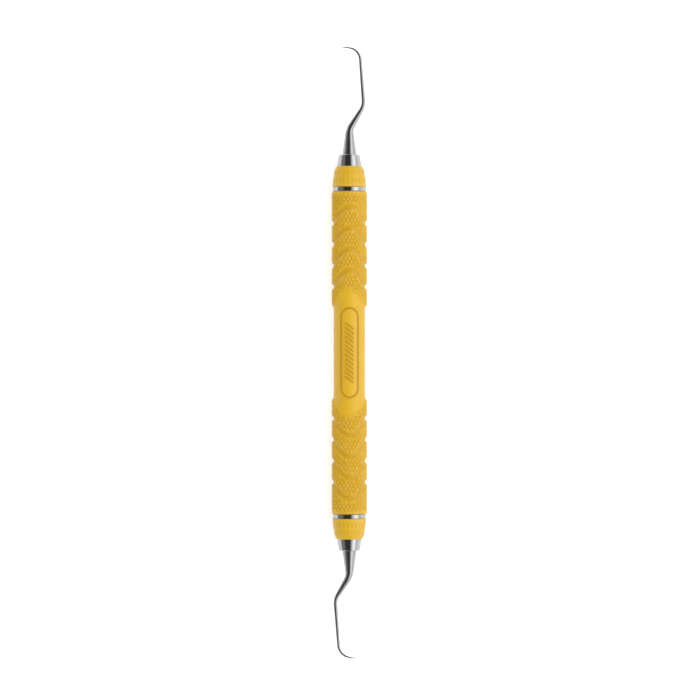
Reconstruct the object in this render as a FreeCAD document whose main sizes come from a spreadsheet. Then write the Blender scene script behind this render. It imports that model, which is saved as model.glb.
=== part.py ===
"""Double-ended dental explorer, as a parametric FreeCAD document, in millimetres.

The instrument lies on its side on the plane z = 0, with its upper end towards +X and its label panel
facing +Z. Each piece is drawn about its own Z axis, which runs along the handle and out through the end
that the piece belongs to, and its Placement lays it down. The lower end is the upper one turned half round,
and its working end is bent the other way out of the plane, because the two ends of an explorer are a left
and right handed pair.
"""
import FreeCAD
import Part
import Sketcher
import math
import os

from FreeCAD import Placement, Rotation, Vector

SHEET = "Sizes"
SIZES = [
    ("grip_diameter", 9.5, "over the crests of the moulded grip"),
    ("grip_length", 87.0, "between the two band rings"),
    ("grip_end_chamfer", 0.25, "on the grip's rims"),
    ("waist_diameter", 8.45, "of the plain middle of the grip"),
    ("wave_count", 4, "waves moulded round each half of the grip"),
    ("first_wave", 17.7, "from the middle of the grip to the nearest wave, at the sides"),
    ("wave_pitch", 5.7, "from one wave to the next along the handle"),
    ("wave_rise", 4.5, "of a wave, from its valley at the side to its crest at the front"),
    ("wave_width", 1.5, "across the mouth of a wave groove"),
    ("wave_floor", 0.5, "across the floor of a wave groove"),
    ("wave_depth", 0.52, "of a wave groove"),
    ("waist_half_length", 12.1, "from the middle of the grip to where its waist ends, at the sides"),
    ("panel_length", 24.2, "of the sunk label panel, over its round ends"),
    ("panel_width", 4.9, "of the sunk label panel"),
    ("panel_depth", 0.22, "of the sunk label panel"),
    ("ring_diameter", 8.9, "of the band rings"),
    ("ring_width", 1.2, "of the band rings, along the handle"),
    ("ring_edge", 0.12, "fillet on a band ring's rims"),
    ("cone_length", 5.6, "of the end cones"),
    ("land_diameter", 9.0, "of the plain land at an end cone's base"),
    ("land_length", 0.9, "of that land"),
    ("lower_tier_diameter", 8.9, "over the ribs next to the land"),
    ("lower_tier_end", 2.65, "from the base to the end of those ribs"),
    ("upper_tier_diameter", 8.3, "over the outer row of ribs"),
    ("upper_tier_start", 3.15, "from the base to where the outer row starts"),
    ("upper_tier_end", 4.6, "from the base to where the outer row ends"),
    ("tier_fall", 0.2, "by which each row of ribs narrows towards the tip"),
    ("cone_nose_diameter", 6.9, "of the end cone's outer face"),
    ("rib_count", 24, "ribs round an end cone"),
    ("flute_depth", 0.2, "between two ribs"),
    ("collar_length", 3.1, "of the steel collar outside the handle"),
    ("collar_base_diameter", 6.6, "where the collar meets the end cone"),
    ("collar_top_diameter", 5.6, "where the shank leaves the collar"),
    ("collar_edge", 0.3, "fillet on the collar's outer rim"),
    ("spigot_length", 9.0, "of the collar's threaded spigot inside the tube"),
    ("spigot_relief", 0.8, "length of the undercut at the root of the thread"),
    ("spigot_relief_depth", 0.15, "depth of that undercut"),
    ("tube_diameter", 5.0, "outside, of the core tube"),
    ("tube_wall", 0.7, "of the core tube"),
    ("tube_chamfer", 0.2, "at the mouths of the tube"),
    ("seal_section", 0.64, "thickness of the sealing ring"),
    ("fit_clearance", 0.02, "between one piece and the next, measured on the radius"),
    ("tang_diameter", 2.2, "of the working end's tang"),
    ("tang_length", 9.5, "of the tang below the shank's shoulder"),
    ("tang_tip_chamfer", 0.25, "at the inner end of the tang"),
    ("bond_groove_count", 4, "rings turned in the tang to hold the bond"),
    ("bond_groove_pitch", 1.6, "from one of those rings to the next"),
    ("bond_groove_width", 0.5, "of each ring"),
    ("bond_groove_depth", 0.15, "of each ring"),
    ("shoulder_depth", 0.4, "of the seat in the collar that the shank's shoulder sits in"),
    ("shank_base_diameter", 3.8, "of the shank at the collar"),
    ("neck_diameter", 1.95, "of the shank at its first bend"),
    ("slant_diameter", 1.5, "half way along the slanted run"),
    ("terminal_diameter", 1.08, "at the start of the terminal shank"),
    ("terminal_end_diameter", 0.8, "where the terminal shank turns into the tip"),
    ("tip_root_diameter", 0.5, "where the tip leaves that bend"),
    ("tip_diameter", 0.2, "at the point"),
    ("first_bend_height", 6.9, "of the first bend above the collar"),
    ("slant_height", 6.35, "of the slanted run, along the handle"),
    ("slant_offset", 3.87, "of the second bend from the axis"),
    ("slant_lean", 1.0, "of the second bend out of the plane of the panel"),
    ("terminal_height", 14.85, "of the terminal shank, along the handle"),
    ("terminal_offset", 2.76, "of the tip bend from the axis"),
    ("terminal_lean", 0.7, "of the tip bend out of the plane"),
    ("tip_height", 0.92, "by which the root of the tip climbs from its bend"),
    ("tip_reach", 3.22, "of the root of the tip across the axis, from its bend"),
    ("tip_lean", 0.6, "by which the root of the tip turns back through the plane"),
    ("point_reach", 1.6, "of the tip's point beyond its root"),
    ("point_lean", 0.2, "by which the point goes on through the plane"),
    ("first_bend_radius", 5.0, "of the first bend"),
    ("second_bend_radius", 4.6, "of the second bend"),
    ("tip_bend_radius", 3.4, "of the tip bend"),
    ("point_bend_radius", 4.0, "of the slight bend in the tip"),
]

WAVE_POINTS = 32  # points on one turn of a wave
CUT_OVERRUN = 0.3  # by which a cutter stands out of the surface that it cuts
BEND_STEP = math.radians(5)  # largest angle between the shank's sections in a bend
RUN_STEP = 1.5  # about the distance between its sections in a straight run
ENDS = ("upper", "lower")

# Where a piece's own X, Y and Z axes point once the instrument is laid down.
LAID = {
    "upper": Rotation(Vector(0, -1, 0), Vector(0, 0, -1), Vector(1, 0, 0), "ZXY"),
    "lower": Rotation(Vector(0, 1, 0), Vector(0, 0, -1), Vector(-1, 0, 0), "ZXY"),
}

doc = FreeCAD.newDocument("DentalExplorer")


# ---------------------------------------------------------------- the sheet and sizes read from it


class Size:
    """A size that is both an expression on the sheet and the number that it now comes to."""

    def __init__(self, text, value):
        self.text = text
        self.value = value

    @staticmethod
    def of(other):
        return other if isinstance(other, Size) else Size(repr(float(other)), float(other))

    def join(self, sign, other, value):
        return Size(f"({self.text} {sign} {other.text})", value)

    def __add__(self, other):
        other = Size.of(other)
        return self.join("+", other, self.value + other.value)

    def __sub__(self, other):
        other = Size.of(other)
        return self.join("-", other, self.value - other.value)

    def __mul__(self, other):
        other = Size.of(other)
        return self.join("*", other, self.value * other.value)

    def __truediv__(self, other):
        other = Size.of(other)
        return self.join("/", other, self.value / other.value)

    def __neg__(self):
        return Size.of(0) - self

    def root(self):
        return Size(f"sqrt({self.text})", math.sqrt(self.value))


def make_sheet():
    sheet = doc.addObject("Spreadsheet::Sheet", SHEET)
    for row, (alias, value, note) in enumerate(SIZES, start=1):
        sheet.set(f"A{row}", alias)
        sheet.set(f"B{row}", str(value))
        sheet.set(f"C{row}", note)
        sheet.setAlias(f"B{row}", alias)
    doc.recompute()
    return sheet


sheet = make_sheet()


def size(alias):
    return Size(f"{SHEET}.{alias}", float(sheet.get(alias)))


def number(alias):
    return float(sheet.get(alias))


# Stations along the handle, counted from its middle.
grip_end = size("grip_length") / 2
ring_end = grip_end + size("ring_width")
cone_end = ring_end + size("cone_length")
collar_end = cone_end + size("collar_length")

# Radii that several pieces share.
tube_radius = size("tube_diameter") / 2
tube_bore_radius = tube_radius - size("tube_wall")
sleeve_bore_radius = tube_radius + size("fit_clearance")
spigot_radius = tube_bore_radius - size("fit_clearance")
tang_bore_radius = size("tang_diameter") / 2 + size("fit_clearance")
seal_room = size("seal_section") + size("fit_clearance") * 2
tube_end = cone_end - seal_room


# ---------------------------------------------------------------- helpers for bodies and sketches


def origin_feature(body, role):
    return next(f for f in body.Origin.OriginFeatures if f.Role == role)


def new_body(label):
    body = doc.addObject("PartDesign::Body", label)
    body.Label = label
    return body


def new_sketch(body, name, plane="XZ_Plane"):
    sketch = body.newObject("Sketcher::SketchObject", name)
    sketch.AttachmentSupport = [(origin_feature(body, plane), "")]
    sketch.MapMode = "FlatFace"
    return sketch


def tie(sketch, kind, geometry, end, wanted):
    """Ties one coordinate of a point to the sheet."""
    index = sketch.addConstraint(Sketcher.Constraint(kind, geometry, end, wanted.value))
    sketch.setExpression(f"Constraints[{index}]", wanted.text)


def tie_radius(sketch, geometry, wanted):
    index = sketch.addConstraint(Sketcher.Constraint("Radius", geometry, wanted.value))
    sketch.setExpression(f"Constraints[{index}]", wanted.text)


def draw_outline(sketch, corners):
    """A closed outline of straight sides, with every corner tied to the sheet."""
    corners = [(Size.of(across), Size.of(along)) for across, along in corners]
    points = [Vector(across.value, along.value, 0) for across, along in corners]
    for start, end in zip(points, points[1:] + points[:1]):
        sketch.addGeometry(Part.LineSegment(start, end), False)
    for side in range(len(points)):
        following = (side + 1) % len(points)
        sketch.addConstraint(Sketcher.Constraint("Coincident", side, 2, following, 1))
    for side, (across, along) in enumerate(corners):
        tie(sketch, "DistanceX", side, 1, across)
        tie(sketch, "DistanceY", side, 1, along)


def turned(body, name, corners):
    """A solid of revolution about the body's Z axis."""
    sketch = new_sketch(body, name + "_outline")
    draw_outline(sketch, corners)
    turn = body.newObject("PartDesign::Revolution", name)
    turn.Profile = sketch
    turn.ReferenceAxis = (sketch, ["V_Axis"])
    turn.Angle = 360
    doc.recompute()
    return turn


def rim_edges(feature, radius, station):
    """Names of the circular edges of that radius at that place along the axis."""
    found = []
    for index, edge in enumerate(feature.Shape.Edges, start=1):
        curve = edge.Curve
        if not isinstance(curve, Part.Circle):
            continue
        if abs(curve.Radius - radius) < 1e-4 and abs(curve.Center.z - station) < 1e-4:
            found.append(f"Edge{index}")
    if not found:
        raise ValueError(f"{feature.Label} has no rim of radius {radius} at {station}")
    return found


def round_rims(body, name, base, rims, radius):
    """Fillets the rims, each given as its radius and station."""
    names = []
    for rim_radius, station in rims:
        names += rim_edges(base, rim_radius.value, station.value)
    fillet = body.newObject("PartDesign::Fillet", name)
    fillet.Base = (base, names)
    fillet.Radius = radius.value
    fillet.setExpression("Radius", radius.text)
    doc.recompute()
    return fillet


def lay_down(piece, label, end="upper"):
    """Turns a piece to its end and lifts its axis to the handle's height above the table."""
    piece.Label = label
    piece.Placement = Placement(Vector(0, 0, number("grip_diameter") / 2), LAID[end])
    piece.setExpression("Placement.Base.z", f"{SHEET}.grip_diameter / 2")
    return piece


# ---------------------------------------------------------------- the handle


def make_core_tube():
    """The stainless tube that everything else is threaded on to."""
    body = new_body("core_tube")
    chamfer = size("tube_chamfer")
    turned(body, "core_tube_turned", [
        (tube_bore_radius + chamfer, tube_end),
        (tube_bore_radius, tube_end - chamfer),
        (tube_bore_radius, -(tube_end - chamfer)),
        (tube_bore_radius + chamfer, -tube_end),
        (tube_radius, -tube_end),
        (tube_radius, tube_end),
    ])
    return lay_down(body, "core_tube")


def wave_share(angle):
    """Height of a wave above its valley, as a share of its rise. Crests face the front and the back."""
    return math.cos(angle) ** 2


def wave_stretch(angle, rise):
    """How much wider a band that follows a wave is along the handle than square across the band."""
    return math.hypot(1, rise * math.sin(2 * angle) / (number("grip_diameter") / 2))


def wave_curve(radius, station, rise, aside):
    """One closed turn on a cylinder, to one side of a wave's middle line."""
    points = []
    for step in range(WAVE_POINTS):
        angle = math.tau * step / WAVE_POINTS
        height = station + rise * wave_share(angle) + aside * wave_stretch(angle, rise)
        points.append(Vector(radius * math.sin(angle), radius * math.cos(angle), height))
    curve = Part.BSplineCurve()
    curve.interpolate(Points=points, PeriodicFlag=True)
    return curve.toShape()


def wave_ring(rims):
    """A solid ring walled from each rim to the next. A rim is its radius, station, rise and side."""
    waves = [wave_curve(*rim) for rim in rims]
    walls = []
    for near, far in zip(waves, waves[1:] + waves[:1]):
        walls += Part.makeRuledSurface(near, far).Faces
    shell = Part.makeShell(walls)
    shell.sewShape()
    return Part.makeSolid(shell)


def wall_run():
    """How far a groove's wall moves sideways for each millimetre that it climbs."""
    return (number("wave_width") - number("wave_floor")) / 2 / number("wave_depth")


def wave_groove(station, rise):
    """One groove along a wave, as the ring that cuts it."""
    outer = number("grip_diameter") / 2 + CUT_OVERRUN
    inner = number("grip_diameter") / 2 - number("wave_depth")
    floor = number("wave_floor") / 2
    mouth = floor + wall_run() * (outer - inner)
    return wave_ring([
        (inner, station, rise, -floor),
        (inner, station, rise, floor),
        (outer, station, rise, mouth),
        (outer, station, rise, -mouth),
    ])


def waist_relief(half_length, rise):
    """The material missing at the waist, as the ring that cuts it. It ends in a wave at both sides."""
    outer = number("grip_diameter") / 2 + CUT_OVERRUN
    inner = number("waist_diameter") / 2
    mouth = wall_run() * (outer - inner)
    return wave_ring([
        (inner, -half_length, -rise, 0),
        (inner, half_length, rise, 0),
        (outer, half_length, rise, mouth),
        (outer, -half_length, -rise, -mouth),
    ])


def make_grip_relief():
    """Everything that is sunk in the grip by its mould, apart from the label panels."""
    rise = number("wave_rise")
    cutters = [waist_relief(number("waist_half_length"), rise)]
    for count in range(int(number("wave_count"))):
        station = number("first_wave") + count * number("wave_pitch")
        cutters.append(wave_groove(station, rise))
        cutters.append(wave_groove(-station, -rise))
    relief = doc.addObject("Part::Feature", "grip_relief")
    relief.Shape = Part.makeCompound(cutters)
    return relief


def make_panel_cutter():
    """The two label panels, front and back: a long slot pushed through a ring that leaves their floor."""
    body = new_body("panel_slot")
    sketch = new_sketch(body, "panel_slot_outline")
    radius = size("panel_width") / 2
    reach = size("panel_length") / 2 - radius
    right, top = Vector(radius.value, 0, 0), Vector(0, reach.value, 0)
    sketch.addGeometry(Part.LineSegment(right - top, right + top), False)
    sketch.addGeometry(Part.ArcOfCircle(Part.Circle(top, Vector(0, 0, 1), radius.value), 0, math.pi), False)
    sketch.addGeometry(Part.LineSegment(top - right, -right - top), False)
    lower_round = Part.Circle(-top, Vector(0, 0, 1), radius.value)
    sketch.addGeometry(Part.ArcOfCircle(lower_round, math.pi, math.tau), False)
    for first, second in ((0, 1), (1, 2), (2, 3), (3, 0)):
        ends = (2, 1)
        sketch.addConstraint(Sketcher.Constraint("Tangent", first, ends[0], second, ends[1]))
    for arc, station in ((1, reach), (3, -reach)):
        sketch.addConstraint(Sketcher.Constraint("PointOnObject", arc, 3, -2))
        tie(sketch, "DistanceY", arc, 3, station)
    tie_radius(sketch, 1, radius)
    pad = body.newObject("PartDesign::Pad", "panel_slot_pad")
    pad.Profile = sketch
    pad.Midplane = True
    pad.Length = number("grip_diameter") * 2
    pad.setExpression("Length", f"{SHEET}.grip_diameter * 2")
    ring = new_body("panel_ring")
    floor = size("waist_diameter") / 2 - size("panel_depth")
    beyond = size("grip_diameter")
    turned(ring, "panel_ring_turned", [
        (floor, -beyond * 2), (beyond, -beyond * 2), (beyond, beyond * 2), (floor, beyond * 2),
    ])
    cutter = doc.addObject("Part::Common", "panel_cutter")
    cutter.Base = body
    cutter.Tool = ring
    return cutter


def make_grip_sleeve():
    """The moulded grip: a bored bar with the waves, the waist and the label panels sunk in it."""
    blank = new_body("grip_blank")
    radius = size("grip_diameter") / 2
    chamfer = size("grip_end_chamfer")
    turned(blank, "grip_blank_turned", [
        (sleeve_bore_radius, -grip_end),
        (radius - chamfer, -grip_end),
        (radius, -(grip_end - chamfer)),
        (radius, grip_end - chamfer),
        (radius - chamfer, grip_end),
        (sleeve_bore_radius, grip_end),
    ])
    waved = doc.addObject("Part::Cut", "waved_grip")
    waved.Base = blank
    waved.Tool = make_grip_relief()
    sleeve = doc.addObject("Part::Cut", "panelled_grip")
    sleeve.Base = waved
    sleeve.Tool = make_panel_cutter()
    return lay_down(sleeve, "grip_sleeve")


# ---------------------------------------------------------------- the pieces stacked at each end


def make_band_ring(end):
    """The polished steel ring between the grip and the end cone."""
    label = f"{end}_band_ring"
    body = new_body(label)
    radius = size("ring_diameter") / 2
    ring = turned(body, label + "_turned", [
        (sleeve_bore_radius, grip_end), (radius, grip_end),
        (radius, ring_end), (sleeve_bore_radius, ring_end),
    ])
    round_rims(body, label + "_rims", ring, [(radius, grip_end), (radius, ring_end)], size("ring_edge"))
    return lay_down(body, label, end)


def cut_flutes(body, name, inner_end, outer_end):
    """The first flute of a row: a thin bow turned about its own string, which lies on the ribs."""
    sketch = new_sketch(body, name + "_bow")
    depth = size("flute_depth")
    (low_radius, low), (high_radius, high) = inner_end, outer_end
    fall = low_radius - high_radius
    string = (fall * fall + (high - low) * (high - low)).root()
    bow_radius = (string * string / 4 + depth * depth) / (depth * 2)
    start = Vector(low_radius.value, low.value, 0)
    end = Vector(high_radius.value, high.value, 0)
    inward = Vector(-(end.y - start.y), end.x - start.x, 0).normalize()
    middle = (start + end) / 2 + inward * depth.value
    sketch.addGeometry(Part.LineSegment(start, end), False)
    sketch.addGeometry(Part.Arc(end, middle, start), False)
    sketch.addConstraint(Sketcher.Constraint("Coincident", 0, 2, 1, 1))
    sketch.addConstraint(Sketcher.Constraint("Coincident", 1, 2, 0, 1))
    tie(sketch, "DistanceX", 0, 1, low_radius)
    tie(sketch, "DistanceY", 0, 1, low)
    tie(sketch, "DistanceX", 0, 2, high_radius)
    tie(sketch, "DistanceY", 0, 2, high)
    tie_radius(sketch, 1, bow_radius)
    flute = body.newObject("PartDesign::Groove", name)
    flute.Profile = sketch
    flute.ReferenceAxis = (sketch, ["Edge1"])
    flute.Angle = 360
    doc.recompute()
    return flute


def make_end_cone(end):
    """The ribbed cone of grip colour that the collar clamps against the band ring."""
    label = f"{end}_end_cone"
    body = new_body(label)
    land = size("land_diameter") / 2
    low_tier = size("lower_tier_diameter") / 2
    high_tier = size("upper_tier_diameter") / 2
    fall = size("tier_fall")
    low_start = ring_end + size("land_length")
    low_stop = ring_end + size("lower_tier_end")
    high_start = ring_end + size("upper_tier_start")
    high_stop = ring_end + size("upper_tier_end")
    blend = (land - low_tier)
    turned(body, label + "_turned", [
        (sleeve_bore_radius, ring_end),
        (land, ring_end),
        (land, low_start),
        (low_tier, low_start + blend),
        (low_tier - fall, low_stop),
        (high_tier, high_start),
        (high_tier - fall, high_stop),
        (size("cone_nose_diameter") / 2, cone_end),
        (sleeve_bore_radius, cone_end),
    ])
    rows = [
        cut_flutes(body, label + "_lower_flute", (low_tier, low_start + blend), (low_tier - fall, low_stop)),
        cut_flutes(body, label + "_upper_flute", (high_tier, high_start), (high_tier - fall, high_stop)),
    ]
    ribs = body.newObject("PartDesign::PolarPattern", label + "_ribs")
    ribs.Originals = rows
    ribs.Axis = (origin_feature(body, "Z_Axis"), [""])
    ribs.Angle = 360
    ribs.Occurrences = int(number("rib_count"))
    ribs.setExpression("Occurrences", f"{SHEET}.rib_count")
    body.Tip = ribs
    doc.recompute()
    return lay_down(body, label, end)


def make_seal_ring(end):
    """The silicone ring that keeps steam out of the tube, round the spigot between tube and collar."""
    label = f"{end}_seal_ring"
    seal = doc.addObject("Part::Torus", label)
    section = size("seal_section") / 2
    ring = spigot_radius + size("fit_clearance") + section
    station = tube_end + seal_room / 2
    seal.setExpression("Radius1", ring.text)
    seal.setExpression("Radius2", section.text)
    seal.Label = label
    along = LAID[end].multVec(Vector(0, 0, 1))
    seal.Placement = Placement(along * station.value + Vector(0, 0, number("grip_diameter") / 2), LAID[end])
    seal.setExpression("Placement.Base.x", (station * along.x).text)
    seal.setExpression("Placement.Base.z", f"{SHEET}.grip_diameter / 2")
    return seal


def make_collar(end):
    """The steel collar: a tapered head outside, and a spigot that screws into the tube."""
    label = f"{end}_collar"
    body = new_body(label)
    relief = spigot_radius - size("spigot_relief_depth")
    thread_start = tube_end - size("spigot_relief")
    spigot_end = cone_end - size("spigot_length")
    lead = size("tube_chamfer")
    base = size("collar_base_diameter") / 2
    top = size("collar_top_diameter") / 2
    seat = size("shank_base_diameter") / 2 + size("fit_clearance")
    seat_floor = collar_end - size("shoulder_depth")
    head = turned(body, label + "_turned", [
        (tang_bore_radius, spigot_end),
        (spigot_radius - lead, spigot_end),
        (spigot_radius, spigot_end + lead),
        (spigot_radius, thread_start),
        (relief, thread_start + size("spigot_relief_depth")),
        (relief, tube_end - size("spigot_relief_depth")),
        (spigot_radius, tube_end),
        (spigot_radius, cone_end),
        (base, cone_end),
        (top, collar_end),
        (seat, collar_end),
        (seat, seat_floor),
        (tang_bore_radius, seat_floor),
    ])
    round_rims(body, label + "_rim", head, [(top, collar_end)], size("collar_edge"))
    return lay_down(body, label, end)


# ---------------------------------------------------------------- the working ends


def straight_stations(start, end, gone):
    """Evenly spaced stations from the start of a straight run up to its end, which is left out."""
    length = (end - start).Length
    count = max(1, round(length / RUN_STEP))
    along = (end - start).normalize()
    steps = [length * step / count for step in range(count)]
    return [(start + along * step, along, gone + step) for step in steps]


def arc_stations(start, along, turned_to, radius, gone):
    """Stations round a bend, from its start to its end."""
    axis = along.cross(turned_to).normalize()
    turn = along.getAngle(turned_to)
    centre = start + axis.cross(along) * radius
    count = math.ceil(turn / BEND_STEP)
    stations = []
    for step in range(count + 1):
        part_turn = turn * step / count
        rotation = Rotation(axis, math.degrees(part_turn))
        point = centre + rotation.multVec(start - centre)
        stations.append((point, rotation.multVec(along), gone + radius * part_turn))
    return stations


def bent_path(corners, radii):
    """Stations along straight runs joined by arcs. Each is its point, its direction and the distance gone."""
    stations = []
    here, gone = corners[0], 0.0
    for corner, following, radius in zip(corners[1:], corners[2:], radii):
        along = (corner - here).normalize()
        turned_to = (following - corner).normalize()
        bend_start = corner - along * radius * math.tan(along.getAngle(turned_to) / 2)
        stations += straight_stations(here, bend_start, gone)
        bend = arc_stations(bend_start, along, turned_to, radius, gone + (bend_start - here).Length)
        stations += bend[:-1]
        here, _, gone = bend[-1]
    stations += straight_stations(here, corners[-1], gone)
    length = (corners[-1] - here).Length
    stations.append((corners[-1], (corners[-1] - here).normalize(), gone + length))
    return stations


def shank_corners(end):
    """Where the shank's straight runs would meet, from its seat in the collar to its point."""
    hand = {"upper": -1, "lower": 1}[end]
    seat = collar_end.value - number("shoulder_depth")
    runs = [
        Vector(0, 0, number("shoulder_depth") + number("first_bend_height")),
        Vector(number("slant_offset"), hand * number("slant_lean"), number("slant_height")),
        Vector(
            number("terminal_offset") - number("slant_offset"),
            hand * (number("terminal_lean") - number("slant_lean")),
            number("terminal_height"),
        ),
        Vector(-number("tip_reach"), -hand * number("tip_lean"), number("tip_height")),
        Vector(-number("point_reach"), -hand * number("point_lean"), 0),
    ]
    corners = [Vector(0, 0, seat)]
    for run in runs:
        corners.append(corners[-1] + run)
    return corners


def shank_marks(path, corners):
    """Where along the shank its diameter is given, each as the distance gone and the diameter."""

    def gone_at(place):
        return min(path, key=lambda station: (station[0] - place).Length)[2]

    return [
        (0.0, number("shank_base_diameter")),
        (number("shoulder_depth"), number("shank_base_diameter")),
        (gone_at(corners[1]), number("neck_diameter")),
        (gone_at((corners[1] + corners[2]) / 2), number("slant_diameter")),
        (gone_at(corners[2]), number("terminal_diameter")),
        (gone_at(corners[3]) - number("tip_bend_radius") / 2, number("terminal_end_diameter")),
        (gone_at(corners[3]) + number("tip_bend_radius") / 2, number("tip_root_diameter")),
        (path[-1][2], number("tip_diameter")),
    ]


def diameter_at(marks, gone):
    for (near, wide), (far, narrow) in zip(marks, marks[1:]):
        if gone <= far + 1e-9:
            return wide + (narrow - wide) * max(0.0, gone - near) / (far - near)
    return marks[-1][1]


def make_shank(end):
    """Shank and tip: round sections on the bent path, thinning to the point, a short cone between each."""
    corners = shank_corners(end)
    bends = ("first_bend_radius", "second_bend_radius", "tip_bend_radius", "point_bend_radius")
    path = bent_path(corners, [number(bend) for bend in bends])
    marks = shank_marks(path, corners)
    sections = []
    for point, along, gone in path:
        section = Part.Circle(point, along, diameter_at(marks, gone) / 2)
        section.XAxis = Vector(0, 1, 0).cross(along).normalize()  # so that all of them start on one side
        sections.append(Part.Wire(section.toShape()))
    shank = doc.addObject("Part::Feature", f"{end}_shank")
    shank.Shape = Part.makeLoft(sections, True, True)
    return shank


def make_tang(end):
    """The part of the working end that is bonded in the collar."""
    label = f"{end}_tang"
    body = new_body(label)
    radius = size("tang_diameter") / 2
    top = collar_end - size("shoulder_depth")
    bottom = top - size("tang_length")
    chamfer = size("tang_tip_chamfer")
    corners = [(0, top), (0, bottom), (radius - chamfer, bottom), (radius, bottom + chamfer)]
    pitch = size("bond_groove_pitch")
    for count in range(1, int(number("bond_groove_count")) + 1):
        groove = bottom + pitch * count
        floor = radius - size("bond_groove_depth")
        corners += [
            (radius, groove),
            (floor, groove),
            (floor, groove + size("bond_groove_width")),
            (radius, groove + size("bond_groove_width")),
        ]
    corners.append((radius, top))
    turned(body, label + "_turned", corners)
    return body


def make_working_end(end):
    """One forged piece: the tang, the bent shank and the tip."""
    joined = doc.addObject("Part::Fuse", f"{end}_forging")
    joined.Base = make_tang(end)
    joined.Tool = make_shank(end)
    return lay_down(joined, f"{end}_working_end", end)


# ---------------------------------------------------------------- the whole instrument


def make_pieces():
    pieces = [make_core_tube(), make_grip_sleeve()]
    for end in ENDS:
        pieces += [
            make_band_ring(end),
            make_end_cone(end),
            make_seal_ring(end),
            make_collar(end),
            make_working_end(end),
        ]
    doc.recompute()
    return pieces


def check(pieces):
    """Stops the build if a feature failed, because a recompute doesn't raise."""
    for item in doc.Objects:
        if {"Invalid", "Error"} & set(item.State):
            raise RuntimeError(f"{item.Label} failed: {item.State}")
    for piece in pieces:
        shape = piece.Shape
        if shape.isNull() or not shape.isValid() or not shape.Solids:
            raise RuntimeError(f"{piece.Label} has no valid solid")


def export(pieces):
    os.makedirs("parts", exist_ok=True)
    for piece in pieces:
        piece.Shape.exportStep(f"parts/{piece.Label}.step")
        print(f"{piece.Label}: {len(piece.Shape.Solids)} solid, {piece.Shape.Volume:.2f} mm3")


pieces = make_pieces()
check(pieces)
export(pieces)
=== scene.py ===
import math

import bmesh
import bpy
from bpy.props import FloatProperty, FloatVectorProperty, IntProperty, PointerProperty
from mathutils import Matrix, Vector


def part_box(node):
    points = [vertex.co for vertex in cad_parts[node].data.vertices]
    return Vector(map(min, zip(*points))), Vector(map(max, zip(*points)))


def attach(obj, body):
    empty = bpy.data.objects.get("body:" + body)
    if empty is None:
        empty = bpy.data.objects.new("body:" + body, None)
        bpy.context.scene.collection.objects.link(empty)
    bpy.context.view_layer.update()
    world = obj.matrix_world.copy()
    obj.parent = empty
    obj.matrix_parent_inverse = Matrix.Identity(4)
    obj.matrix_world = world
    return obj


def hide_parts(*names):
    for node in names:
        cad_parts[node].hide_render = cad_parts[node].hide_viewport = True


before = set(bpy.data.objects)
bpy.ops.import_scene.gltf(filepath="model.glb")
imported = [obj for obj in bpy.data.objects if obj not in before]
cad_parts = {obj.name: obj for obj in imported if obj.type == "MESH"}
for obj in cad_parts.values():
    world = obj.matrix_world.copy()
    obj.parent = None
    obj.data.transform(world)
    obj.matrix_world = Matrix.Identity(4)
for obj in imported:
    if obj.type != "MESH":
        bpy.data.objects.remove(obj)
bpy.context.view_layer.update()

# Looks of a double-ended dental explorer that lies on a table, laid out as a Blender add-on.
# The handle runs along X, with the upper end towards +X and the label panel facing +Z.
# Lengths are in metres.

bl_info = {
    "name": "Dental Explorer",
    "version": (1, 0, 0),
    "blender": (4, 5, 0),
    "location": "View3D > Sidebar > Explorer",
    "description": "Builds the looks of a double-ended dental explorer around its engineering model",
    "category": "Object",
}

MM = 0.001
ENDS = {"upper": 1, "lower": -1}

GRIP_LOW, GRIP_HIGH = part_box("grip_sleeve")
GRIP_RADIUS = (GRIP_HIGH.z - GRIP_LOW.z) / 2
GRIP_HALF = (GRIP_HIGH.x - GRIP_LOW.x) / 2
AXIS_HEIGHT = (GRIP_HIGH.z + GRIP_LOW.z) / 2
RING_LOW, RING_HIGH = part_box("upper_band_ring")
RING_END = RING_HIGH.x
RING_RADIUS = (RING_HIGH.z - RING_LOW.z) / 2
CONE_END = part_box("upper_end_cone")[1].x
COLLAR_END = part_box("upper_collar")[1].x
TUBE_LOW, TUBE_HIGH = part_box("core_tube")
TUBE_RADIUS = (TUBE_HIGH.z - TUBE_LOW.z) / 2
FIT = 0.02 * MM  # between the tube and what is round it
SHARP_BEND = 40  # degrees, over which an edge shades as sharp
COPY_SHARP_BEND = 30  # the same for the copies of engineering pieces, whose facets are wider
SAME_POINT = 0.001 * MM  # points nearer than this are joined up

BAND_FOOT = 1.6  # where the slope beside an end band ends, in widths of the band
GROOVE_SHOULDER = 0.35  # how much of a groove's depth its rounded shoulder takes
# the dark line round a panel is painted shade
PANEL_LINE = 2.5  # half width of the dark line round a panel, in panel edges
DIAMOND_TOP = 0.32  # the flat top of a diamond, as a share of its outline
DIAMOND_FOOT = 1.14  # its sunk foot, as a share of its outline
BAR_TAPER = 0.5  # how much narrower the top of a slanted bar is than its foot
BAR_LIFT = 0.4  # the middle of a bar above the panel's floor, as a share of its height

# How much painted shade darkens the resin in each place, where 1 is the full shade colour and more is cut
# off at 1.
GROOVE_PAINTED_SHADE = 0.62
PANEL_PAINTED_SHADE = 2.0
FLUTE_PAINTED_SHADE = 0.35
DIAMOND_PAINTED_SHADE = 1.0
DIAMOND_FADE = 1.3  # by which that falls from a diamond's foot to its top
BAR_PAINTED_SHADE = 1.5

TANG_CHAMFER = 0.25 * MM
SHOULDER_STEP = 0.05 * MM  # length of the step from the tang to the shank
POINT_TAPER = 0.3 * MM  # length of the last taper
POINT_SHARE = 0.3  # diameter at the very end, as a share of the tip's

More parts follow.
